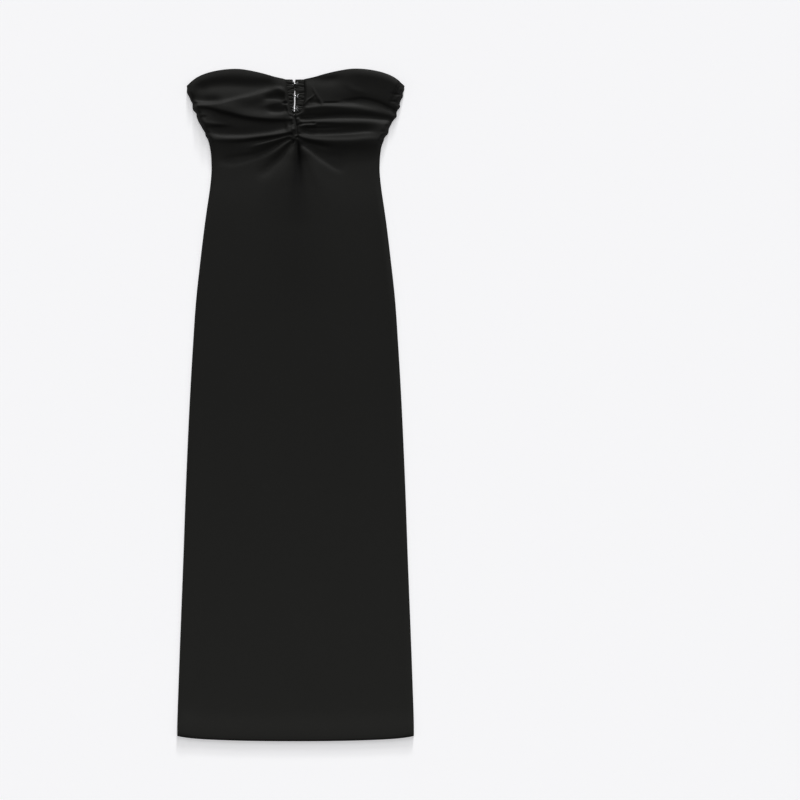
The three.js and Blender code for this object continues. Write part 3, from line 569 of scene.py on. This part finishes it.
# Gathers of the ruched bands: up at the slit, up at the seam, depth, half width
bandGathers = {
    -1: [
        (1186.5, 1187, 0.7, 0.8), (1182.6, 1183, 1, 1), (1179.2, 1178, 1.3, 1),
        (1173, 1170.5, 1.3, 1.1), (1168.8, 1169, 0.6, 0.7), (1165, 1165.6, 1.1, 1),
        (1160.5, 1160.8, 1.2, 1), (1154.5, 1152.6, 1.4, 1.1), (1152, 1153.4, 0.7, 0.8),
        (1147.4, 1147.2, 1.3, 1), (1141.4, 1142.3, 1, 0.9), (1137.4, 1136.2, 1.2, 1),
        (1133, 1131.3, 0.7, 0.8), (1129.2, 1130, 1, 0.9),
    ],
    1: [
        (1183, 1182.2, 1, 1), (1179.4, 1178, 0.6, 0.8), (1175.8, 1175, 1.3, 1.1),
        (1172.6, 1173.6, 0.6, 0.7), (1167, 1166.3, 1.3, 1), (1161, 1160.4, 1.1, 0.9),
        (1157, 1155.4, 0.9, 0.8), (1152.6, 1153, 1.3, 1), (1147.6, 1148.2, 0.5, 0.7),
        (1144, 1142.6, 1.3, 1), (1138, 1138.6, 1.2, 1), (1133.2, 1132.2, 1, 0.9),
        (1129.6, 1130.4, 0.9, 0.8),
    ],
}


def gatherDepth(side, out, up):
    # Each gather is bent, and deeper at one place across the band than at another
    depth = np.zeros_like(up)
    (bendOut, bendNext), (unevenOut, unevenNext) = band["bendTurns"], band["unevenTurns"]
    for i, (atSlit, atSeam, size, half) in enumerate(bandGathers[side]):
        bent = np.sin(2 * math.pi * (out * bendOut + i * bendNext))
        line = mix(atSlit, atSeam, out) + band["bend"] * bent
        here = 1 + band["uneven"] * np.cos(2 * math.pi * (out * unevenOut + i * unevenNext))
        depth = depth + size * here * np.exp(-(((up - line) / half) ** 2))
    return depth


def bandTopAt(side, out, up, top):
    rounded = mix(band["edgeHeight"], 1, np.sin(math.pi * out) ** band["crown"])
    rounded = rounded * mix(band["topHeight"], 1, roll(top - up, band["topRoll"]))
    height = np.maximum(band["height"] - gatherDepth(side, out, up), band["leastHeight"])
    return dress["wall"] + dress["seamGap"] + height * rounded


def buildBand(side, material):
    outs = np.linspace(0, 1, band["columns"])
    outs = outs if side > 0 else outs[::-1]
    out, share = np.meshgrid(outs, np.linspace(0, 1, band["rows"]))
    top = mix(band["slitTop"], necklineUp(0), out)
    up = mix(band["foot"], top, share)
    drawn = band["puff"] * np.minimum(gatherDepth(side, out, up), 1) * (1 - out) ** 2
    slit = slitMiddle(up) + side * (slitHalf(up) + drawn)
    seam = bandSeamX[side](up) + side * band["tucked"] * ease((up - band["foot"]) / band["tuckEase"])
    x = mix(slit, seam, out)
    floor = dress["wall"] + dress["seamGap"] + 0 * up
    z = bandTopAt(side, out, up, top)
    name = "ruched_band_left" if side < 0 else "ruched_band_right"
    return clothStrip(name, x, up, z, floor, arcCut(x, up, z), material)


# Materials. Lengths in the next dictionary are metres
cloth = {
    "wales": 1100.0,  # per metre
    "courses": 1250.0,
    "bandWales": 1400.0,
    "bandCourses": 1500.0,
    "slant": 1.2,  # of the loops, in courses for a wale
    "loopHeight": 0.35,  # to the rib's 1
    "unevenHeight": 0.3,
    "unevenScale": 260.0,
    "unevenDetail": 3.0,
    "unevenShare": 0.3,  # of the way from the deep to the light tone
    "deep": (0.0135, 0.0135, 0.0128, 1),
    "light": (0.0225, 0.0225, 0.021, 1),
    "paintedLightFromHem": (0.0, 0.62),  # painted light: how far up the tone, painted lighter towards the hem, goes over from one of these shares to the other
    "paintedLightShares": (1.0, 0.42),
    "paintedShadeTone": (0.0025, 0.0025, 0.0025, 1),  # painted shade, deep in the gathers below the slit
    "paintedShadeAt": 0.003,  # to the right of the middle line of the cut
    "paintedShadeTop": (1.084, 1.07),  # where up the cut the painted shade of the fold begins and is full
    "paintedShadeFoot": (1.04, 0.92),  # and where it fades and ends
    "paintedShadeHalf": (0.0045, 0.03),
    "paintedShadeShare": 1.0,
    "roughness": 0.6,
    "specular": 0.1,
    "bump": 0.35,
    "bumpDepth": 0.00012,
}


def newMaterial(name):
    material = bpy.data.materials.new(name)
    material.use_nodes = True
    return material, material.node_tree, material.node_tree.nodes["Principled BSDF"]


def mathNode(tree, kind, a, b=None):
    # a and b are numbers or other nodes' outputs
    node = tree.nodes.new("ShaderNodeMath")
    node.operation = kind
    for socket, value in zip(node.inputs, (a, b)):
        if isinstance(value, (int, float)):
            socket.default_value = value
        elif value is not None:
            tree.links.new(value, socket)
    return node.outputs[0]


def mixNode(tree, share, a, b):
    # a and b are colours or other nodes' outputs
    node = tree.nodes.new("ShaderNodeMix")
    node.data_type = "RGBA"
    tree.links.new(share, node.inputs[0])
    for socket, value in zip(node.inputs[6:8], (a, b)):  # the two colour sockets
        if isinstance(value, tuple):
            socket.default_value = value
        else:
            tree.links.new(value, socket)
    return node.outputs[2]


def rampNode(tree, value, fromEnds=(0, 1), toEnds=(0, 1), kind="LINEAR"):
    node = tree.nodes.new("ShaderNodeMapRange")
    node.interpolation_type = kind
    node.inputs["From Min"].default_value, node.inputs["From Max"].default_value = fromEnds
    node.inputs["To Min"].default_value, node.inputs["To Max"].default_value = toEnds
    tree.links.new(value, node.inputs["Value"])
    return node.outputs[0]


def noiseNode(tree, place, scale, detail=2.0):
    node = tree.nodes.new("ShaderNodeTexNoise")
    node.inputs["Scale"].default_value = scale
    node.inputs["Detail"].default_value = detail
    tree.links.new(place, node.inputs["Vector"])
    return node.outputs["Fac"]


def newGroup(name, kind, takes, gives):
    # takes: name, kind and default of each input; gives: name and kind of each output
    group = bpy.data.node_groups.new(name, kind)
    for label, sort, value in takes:
        socket = group.interface.new_socket(label, in_out="INPUT", socket_type="NodeSocket" + sort)
        if value is not None:
            socket.default_value = value
    for label, sort in gives:
        group.interface.new_socket(label, in_out="OUTPUT", socket_type="NodeSocket" + sort)
    return group, group.nodes.new("NodeGroupInput"), group.nodes.new("NodeGroupOutput")


def knitGroup():
    # Wales and courses of a fine double knit over a map in metres, with slight unevenness
    group, given, put = newGroup("fine knit", "ShaderNodeTree", [
        ("Map", "Vector", None),
        ("Wales per metre", "Float", cloth["wales"]),
        ("Courses per metre", "Float", cloth["courses"]),
        ("Unevenness", "Float", cloth["unevenHeight"]),
    ], [("Height", "Float"), ("Shade", "Float")])
    split = group.nodes.new("ShaderNodeSeparateXYZ")
    group.links.new(given.outputs["Map"], split.inputs[0])
    across = mathNode(group, "MULTIPLY", split.outputs["X"], given.outputs["Wales per metre"])
    along = mathNode(group, "MULTIPLY", split.outputs["Y"], given.outputs["Courses per metre"])
    inWale = mathNode(group, "PINGPONG", across, 0.5)
    slanted = mathNode(group, "ADD", along, mathNode(group, "MULTIPLY", inWale, cloth["slant"]))
    inCourse = mathNode(group, "SINE", mathNode(group, "MULTIPLY", slanted, 2 * math.pi))
    loops = mathNode(group, "MULTIPLY", inCourse, cloth["loopHeight"])
    rib = mathNode(group, "SINE", mathNode(group, "MULTIPLY", inWale, 2 * math.pi))
    shade = noiseNode(group, given.outputs["Map"], cloth["unevenScale"], cloth["unevenDetail"])
    uneven = mathNode(group, "MULTIPLY", shade, given.outputs["Unevenness"])
    height = mathNode(group, "ADD", mathNode(group, "ADD", rib, loops), uneven)
    group.links.new(height, put.inputs["Height"])
    group.links.new(shade, put.inputs["Shade"])
    return group


def paintedShadeGroup():
    # Painted shade: a dark wedge that widens and fades down the middle of the cut, where the gathered
    # cloth turns in
    group, given, put = newGroup("painted shade below the gathers", "ShaderNodeTree", [
        ("Map", "Vector", None),
    ], [("Mask", "Float")])
    split = group.nodes.new("ShaderNodeSeparateXYZ")
    group.links.new(given.outputs["Map"], split.inputs[0])
    across, along = split.outputs["X"], split.outputs["Y"]
    half = rampNode(group, along, (cloth["paintedShadeTop"][1], cloth["paintedShadeFoot"][1]), cloth["paintedShadeHalf"])
    aside = mathNode(group, "DIVIDE", mathNode(group, "SUBTRACT", across, cloth["paintedShadeAt"]), half)
    squared = mathNode(group, "MULTIPLY", aside, aside)
    wedge = mathNode(group, "EXPONENT", mathNode(group, "MULTIPLY", squared, -1.0))
    begins = rampNode(group, along, cloth["paintedShadeTop"][::-1], (1, 0), "SMOOTHSTEP")
    ends = rampNode(group, along, cloth["paintedShadeFoot"][::-1], (0, cloth["paintedShadeShare"]))
    paintedShadeMask = mathNode(group, "MULTIPLY", mathNode(group, "MULTIPLY", wedge, begins), ends)
    group.links.new(paintedShadeMask, put.inputs["Mask"])
    return group


def clothMaterial(name, knit, wales, courses, paintedShadeTree=None):
    material, tree, shader = newMaterial(name)
    nodes, links = tree.nodes, tree.links
    uv = nodes.new("ShaderNodeUVMap")
    uv.uv_map = "cut"
    weave = nodes.new("ShaderNodeGroup")
    weave.node_tree = knit
    weave.inputs["Wales per metre"].default_value = wales
    weave.inputs["Courses per metre"].default_value = courses
    links.new(uv.outputs[0], weave.inputs["Map"])
    place = nodes.new("ShaderNodeSeparateXYZ")
    links.new(uv.outputs[0], place.inputs[0])
    # Painted light: the tone is painted lighter towards the hem, with random unevenness on top
    fade = rampNode(tree, place.outputs["Y"], cloth["paintedLightFromHem"], cloth["paintedLightShares"])
    spread = cloth["unevenShare"] / 2
    uneven = rampNode(tree, weave.outputs["Shade"], toEnds=(-spread, spread))
    tone = mixNode(tree, mathNode(tree, "ADD", fade, uneven), cloth["deep"], cloth["light"])
    # Painted shade: the front's tone is painted dark below the gathers, as shade in the fold
    if paintedShadeTree:
        inPaintedShade = nodes.new("ShaderNodeGroup")
        inPaintedShade.node_tree = paintedShadeTree
        links.new(uv.outputs[0], inPaintedShade.inputs["Map"])
        tone = mixNode(tree, inPaintedShade.outputs["Mask"], tone, cloth["paintedShadeTone"])
    links.new(tone, shader.inputs["Base Color"])
    bump = nodes.new("ShaderNodeBump")
    bump.inputs["Strength"].default_value = cloth["bump"]
    bump.inputs["Distance"].default_value = cloth["bumpDepth"]
    links.new(weave.outputs["Height"], bump.inputs["Height"])
    links.new(bump.outputs[0], shader.inputs["Normal"])
    shader.inputs["Roughness"].default_value = cloth["roughness"]
    shader.inputs["Specular IOR Level"].default_value = cloth["specular"]
    return material


trim = {
    "threadDeep": (0.006, 0.006, 0.006, 1),
    "threadLight": (0.014, 0.014, 0.014, 1),
    "threadTwist": 5200.0,
    "threadRoughness": 0.45,
    "threadSpecular": 0.2,
    "wireTone": (0.72, 0.73, 0.74, 1),
    "wireWear": 1800.0,
    "wireRoughness": (0.16, 0.34),
}


def threadMaterial():
    material, tree, shader = newMaterial("black sewing thread")
    place = tree.nodes.new("ShaderNodeTexCoord")
    twist = noiseNode(tree, place.outputs["Object"], trim["threadTwist"])
    tone = mixNode(tree, twist, trim["threadDeep"], trim["threadLight"])
    tree.links.new(tone, shader.inputs["Base Color"])
    shader.inputs["Roughness"].default_value = trim["threadRoughness"]
    shader.inputs["Specular IOR Level"].default_value = trim["threadSpecular"]
    return material


def wireMaterial():
    material, tree, shader = newMaterial("nickel wire")
    place = tree.nodes.new("ShaderNodeTexCoord")
    wear = noiseNode(tree, place.outputs["Object"], trim["wireWear"])
    tree.links.new(rampNode(tree, wear, toEnds=trim["wireRoughness"]), shader.inputs["Roughness"])
    shader.inputs["Base Color"].default_value = trim["wireTone"]
    shader.inputs["Metallic"].default_value = 1.0
    return material


knit = knitGroup()
panelGauge = (cloth["wales"], cloth["courses"])
# The front's material carries the painted shade below the gathers
frontKnit = clothMaterial("black double knit, front", knit, *panelGauge, paintedShadeGroup())
backKnit = clothMaterial("black double knit, back", knit, *panelGauge)
# The bands' cut starts near 0 at their foot, so the painted light towards the hem gives them nearly the
# lightest tone
bandKnit = clothMaterial("ruched black knit", knit, cloth["bandWales"], cloth["bandCourses"])
wire = wireMaterial()
thread = threadMaterial()
print("materials made")

frontCloth = buildFront(frontKnit)
backCloth = buildBack(backKnit)
bands = {side: buildBand(side, bandKnit) for side in (-1, 1)}
clothPieces = (frontCloth, backCloth, *bands.values())
print("cloth built:", {piece.name: len(piece.data.polygons) for piece in clothPieces})

# Hooks and eyes: bent wire. Each half starts with a ring and runs on through its points: out from
# the slit, along it in shares of half the width, and above the band in steps of wire and gap
fastener = {
    "heights": {"top": 1182.5, "middle": 1159.5, "bottom": 1136.5},
    "wire": 0.7,
    "sunk": 0.2,  # into the crowns of the gathers
    "ringSteps": 12,
    "ringTurn": 1.6,  # half turns
    "eyeOut": -3.7,
    "eyeHalf": 1.8,
    "eyeRing": 0.9,
    "eyePoints": [(-2.6, 1, 0.1), (-1.2, 1, 0.9), (-0.3, 0.8, 1), (0, 0.4, 1)],
    "hookOut": 5.6,
    "hookHalf": 0.55,
    "hookRing": 1.1,
    "hookPoints": [
        (3.8, 1, 0.5), (1.6, 1, 1.8), (0, 1, 2), (-0.75, 1, 1.7), (-1, 1, 1), (-0.75, 1, 0.3),
        (0, 1, 0), (0.9, 1, 0), (1.5, 0.5, 0),
    ],
}


def ringCentre(kind):
    return fastener[kind + "Out"], fastener[kind + "Half"] + fastener[kind + "Ring"]


def wirePoints(kind):
    low, step = fastener["wire"] / 2, fastener["wire"] + dress["seamGap"]
    way = 1 if kind == "eye" else -1
    (out, along), radius = ringCentre(kind), fastener[kind + "Ring"]
    upper = []
    for i in range(fastener["ringSteps"] + 1):
        left = 1 - i / fastener["ringSteps"]
        turn = -math.pi / 2 - way * left * fastener["ringTurn"] * math.pi
        upper.append((out + radius * math.cos(turn), along + radius * math.sin(turn), low))
    half, points = fastener[kind + "Half"], fastener[kind + "Points"]
    upper += [(out, half * share, low + step * above) for out, share, above in points]
    return upper + [(out, -along, above) for out, along, above in reversed(upper)]


def bentWire(name, points, up):
    base = dress["wall"] + dress["seamGap"] + band["height"] - fastener["sunk"]
    curve = bpy.data.curves.new(name, "CURVE")
    curve.dimensions = "3D"
    spline = curve.splines.new("NURBS")
    spline.points.add(len(points) - 1)
    for point, (out, along, above) in zip(spline.points, points):
        place = toFrame(float(slitMiddle(up)) + out, up + along, base + above)
        point.co = (*place, 1)
    spline.use_endpoint_u = True
    spline.order_u = 3
    spline.resolution_u = 4
    curve.bevel_depth = fastener["wire"] / 2 * mm
    curve.bevel_resolution = 2
    curve.use_fill_caps = True
    made = plainPiece(name, linked(name + "_curve", curve))
    made.data.materials.clear()
    made.data.materials.append(wire)
    made.data.polygons.foreach_set("use_smooth", np.ones(len(made.data.polygons), bool))
    return made


for place, up in fastener["heights"].items():
    for kind in ("hook", "eye"):
        piece = bentWire(f"{kind}_{place}_wire", wirePoints(kind), up)
        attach(piece, "root")
        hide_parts(f"{kind}_{place}")
print("hooks and eyes bent")

stitch = {
    "thread": 0.13,  # radius
    "sides": 6,
    "steps": 9,
    "arch": 1.75,  # how far a whip stitch stands over its ends, which are in the band
    "ends": 3.0,
    "inRing": 0.15,  # how far from a ring's centre it starts, and how far outside it ends
    "overRing": 0.55,
    "onRing": 6,
    "ringSpread": 1.15,  # half turns
    "onHidden": 15,  # a ring that is hidden under its stitches
    "hiddenSpread": 1.7,
    "hidden": {"eye": ("middle", "bottom"), "hook": ("top",)},
    "onShank": 4,
    "shankOut": 2.9,
    "shankPitch": 0.5,
    "besideShank": 0.8,
    "hemFrom": 4,  # to both sides of the middle
    "hemTo": 204,
    "hemPitch": 8,
    "hemOver": 1.5,  # above the edge of the turn-up
    "hemWidthAt": 40,
    "hemLength": 1.1,
    "hemArch": 0.12,
    "hemSunk": 0.02,
}


def stitchTree():
    # Turns each edge of a mesh into one arched stitch of thread
    tree, given, put = newGroup("arched stitches", "GeometryNodeTree", [
        ("Geometry", "Geometry", None),
        ("Arch", "Float", stitch["arch"] * mm),
        ("Thread radius", "Float", stitch["thread"] * mm),
        ("Steps", "Int", stitch["steps"]),
        ("Material", "Material", None),
    ], [("Geometry", "Geometry")])
    nodes, links = tree.nodes, tree.links
    lines = nodes.new("GeometryNodeMeshToCurve")
    links.new(given.outputs["Geometry"], lines.inputs[0])
    even = nodes.new("GeometryNodeResampleCurve")
    links.new(lines.outputs[0], even.inputs["Curve"])
    links.new(given.outputs["Steps"], even.inputs["Count"])
    along = nodes.new("GeometryNodeSplineParameter").outputs["Factor"]
    hump = mathNode(tree, "SINE", mathNode(tree, "MULTIPLY", along, math.pi))
    upwards = nodes.new("ShaderNodeCombineXYZ")
    links.new(mathNode(tree, "MULTIPLY", hump, given.outputs["Arch"]), upwards.inputs["Z"])
    lift = nodes.new("GeometryNodeSetPosition")
    links.new(even.outputs[0], lift.inputs["Geometry"])
    links.new(upwards.outputs[0], lift.inputs["Offset"])
    ring = nodes.new("GeometryNodeCurvePrimitiveCircle")
    ring.inputs["Resolution"].default_value = stitch["sides"]
    links.new(given.outputs["Thread radius"], ring.inputs["Radius"])
    swept = nodes.new("GeometryNodeCurveToMesh")
    swept.inputs["Fill Caps"].default_value = True
    links.new(lift.outputs[0], swept.inputs["Curve"])
    links.new(ring.outputs[0], swept.inputs["Profile Curve"])
    smooth = nodes.new("GeometryNodeSetShadeSmooth")
    links.new(swept.outputs[0], smooth.inputs["Geometry"])
    real = nodes.new("GeometryNodeRealizeInstances")
    links.new(smooth.outputs[0], real.inputs["Geometry"])
    dye = nodes.new("GeometryNodeSetMaterial")
    links.new(real.outputs[0], dye.inputs["Geometry"])
    links.new(given.outputs["Material"], dye.inputs["Material"])
    links.new(dye.outputs[0], put.inputs[0])
    return tree


def sewn(name, tree, ends, arch):
    # ends: pairs of points in the frame's metres
    points = [tuple(point) for pair in ends for point in pair]
    seed = bpy.data.meshes.new(name + "_lines")
    seed.from_pydata(points, [(i, i + 1) for i in range(0, len(points), 2)], [])
    holder = linked(name + "_lines", seed)
    made = holder.modifiers.new("stitches", "NODES")
    made.node_group = tree
    values = {"Arch": arch * mm, "Thread radius": stitch["thread"] * mm, "Material": thread}
    for socket in tree.interface.items_tree:
        if socket.in_out == "INPUT" and socket.name in values:
            made[socket.identifier] = values[socket.name]
    return plainPiece(name, holder)


def ringStitches(up, kind, way, hidden):
    # Whip stitches over the outer half of a ring, or all round one that is hidden under them
    count = stitch["onHidden"] if hidden else stitch["onRing"]
    spread = stitch["hiddenSpread"] if hidden else stitch["ringSpread"]
    out, along = ringCentre(kind)
    middle, along = float(slitMiddle(up)) + out, up + way * along
    faces = math.pi if kind == "eye" else 0
    ends = []
    for i in range(count):
        turn = (i / (count - 1) - 0.5) * spread * math.pi + faces
        ends.append([
            toFrame(middle + r * math.cos(turn), along + r * math.sin(turn), stitch["ends"])
            for r in (stitch["inRing"], fastener[kind + "Ring"] + stitch["overRing"])
        ])
    return ends


def shankStitches(up):
    ends = []
    middle, half = float(slitMiddle(up)), fastener["hookHalf"] + stitch["besideShank"]
    for i in range(stitch["onShank"]):
        out = middle + stitch["shankOut"] + stitch["shankPitch"] * i
        ends.append([toFrame(out, up + way * half, stitch["ends"]) for way in (-1, 1)])
    return ends


def fastenerStitches():
    ends = []
    for place, up in fastener["heights"].items():
        for way in (-1, 1):
            for kind in ("eye", "hook"):
                ends += ringStitches(up, kind, way, place in stitch["hidden"][kind])
        ends += shankStitches(up)
    return ends


def frontTopAt(side, x, up):
    edge = np.abs(sideX(side, up))
    far = 0 * up + 100  # from the neckline and the bands
    return frontHeights((x, up, edge - np.abs(x), up - hemUp(np.abs(x) / edge), far, far))[0]


def hemStitches():
    ends = []
    for side in (-1, 1):
        x = side * np.arange(stitch["hemFrom"], stitch["hemTo"], stitch["hemPitch"], dtype=float)
        up = hemUp(np.abs(x) / sectionHalf(stitch["hemWidthAt"]))
        up = up + dress["hemDepth"] + stitch["hemOver"]
        for ax, au, az in zip(x, up, frontTopAt(side, x, up) - stitch["hemSunk"]):
            ends.append([toFrame(ax + way * stitch["hemLength"] / 2, au, az) for way in (-1, 1)])
    return ends


stitches = stitchTree()
whipStitches = sewn("hook_and_eye_stitches", stitches, fastenerStitches(), stitch["arch"])
hemThread = sewn("hem_stitches", stitches, hemStitches(), stitch["hemArch"])
for piece, slot in ((whipStitches, "ruche"), (hemThread, "knit")):
    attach(piece, "root")
print("stitches sewn:", len(whipStitches.data.polygons), len(hemThread.data.polygons))

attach(frontCloth, "root")
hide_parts("front_panel")
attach(backCloth, "root")
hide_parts("back_panel")
for side, node in ((-1, "band_left"), (1, "band_right")):
    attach(bands[side], "root")
    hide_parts(node)

# Floor, light and camera
shot = {
    "pixel": 1.8,  # of the floor in one pixel of the photograph
    "pixels": 800,
    "axisAt": 295.7,  # the dress's middle in the photograph, across
    "lengthAt": 405.15,  # and down
    "distance": 4.0,  # metres, as the next two
    "floorHalf": 30.0,
    "floorDrop": 0.0002,
    "floorTone": (0.93, 0.93, 0.945, 1),
    "floorGlow": 0.41,  # a lit table, so that its shadows stay pale
    "worldStrength": 0.1,
}

# azimuth from the neckline side (+Y) towards +X, elevation, strength, how wide the light is
suns = {
    "low window": (5, 10.5, 1.6, 4),
    "window": (5, 16, 1.35, 9),
    "upper window": (5, 35, 0.8, 30),
    "ceiling": (0, 82, 0.22, 30),
    "right side": (85, 30, 0.22, 30),
    "left side": (-85, 30, 0.12, 30),
}


def buildFloor():
    half = shot["floorHalf"]
    corners = [(-half, -half, 0), (half, -half, 0), (half, half, 0), (-half, half, 0)]
    material, _, shader = newMaterial("floor")
    floor = newObject("floor", corners, [(0, 1, 2, 3)], material=material)
    shader.inputs["Base Color"].default_value = shot["floorTone"]
    shader.inputs["Emission Color"].default_value = shot["floorTone"]
    shader.inputs["Emission Strength"].default_value = shot["floorGlow"]
    shader.inputs["Roughness"].default_value = 1.0
    shader.inputs["Specular IOR Level"].default_value = 0.0
    floor.location.z = -shot["floorDrop"]


def sunFrom(name, azimuth, elevation, strength, angle):
    light = bpy.data.lights.new(name, "SUN")
    light.energy = strength
    light.angle = math.radians(angle)
    a, e = math.radians(azimuth), math.radians(elevation)
    towards = Vector((math.sin(a) * math.cos(e), math.cos(a) * math.cos(e), math.sin(e)))
    linked(name, light).rotation_euler = towards.to_track_quat("Z", "Y").to_euler()


def buildWorld():
    world = bpy.data.worlds.new("studio")
    world.use_nodes = True
    background = world.node_tree.nodes["Background"]
    background.inputs["Color"].default_value = (1, 1, 1, 1)
    background.inputs["Strength"].default_value = shot["worldStrength"]
    bpy.context.scene.world = world


def buildCamera():
    camera = bpy.data.cameras.new("camera")
    camera.sensor_width = 36
    camera.lens = 36 * shot["distance"] / (shot["pixels"] * shot["pixel"] * mm)
    holder = linked("camera", camera)
    middle = shot["pixels"] / 2
    holder.location = (
        (middle - shot["axisAt"]) * shot["pixel"] * mm,
        (shot["lengthAt"] - middle) * shot["pixel"] * mm,
        shot["distance"],
    )
    bpy.context.scene.camera = holder


buildFloor()
for name, light in suns.items():
    sunFrom(name, *light)
buildWorld()
buildCamera()
bpy.context.scene.view_settings.view_transform = "Standard"
print("stage set")
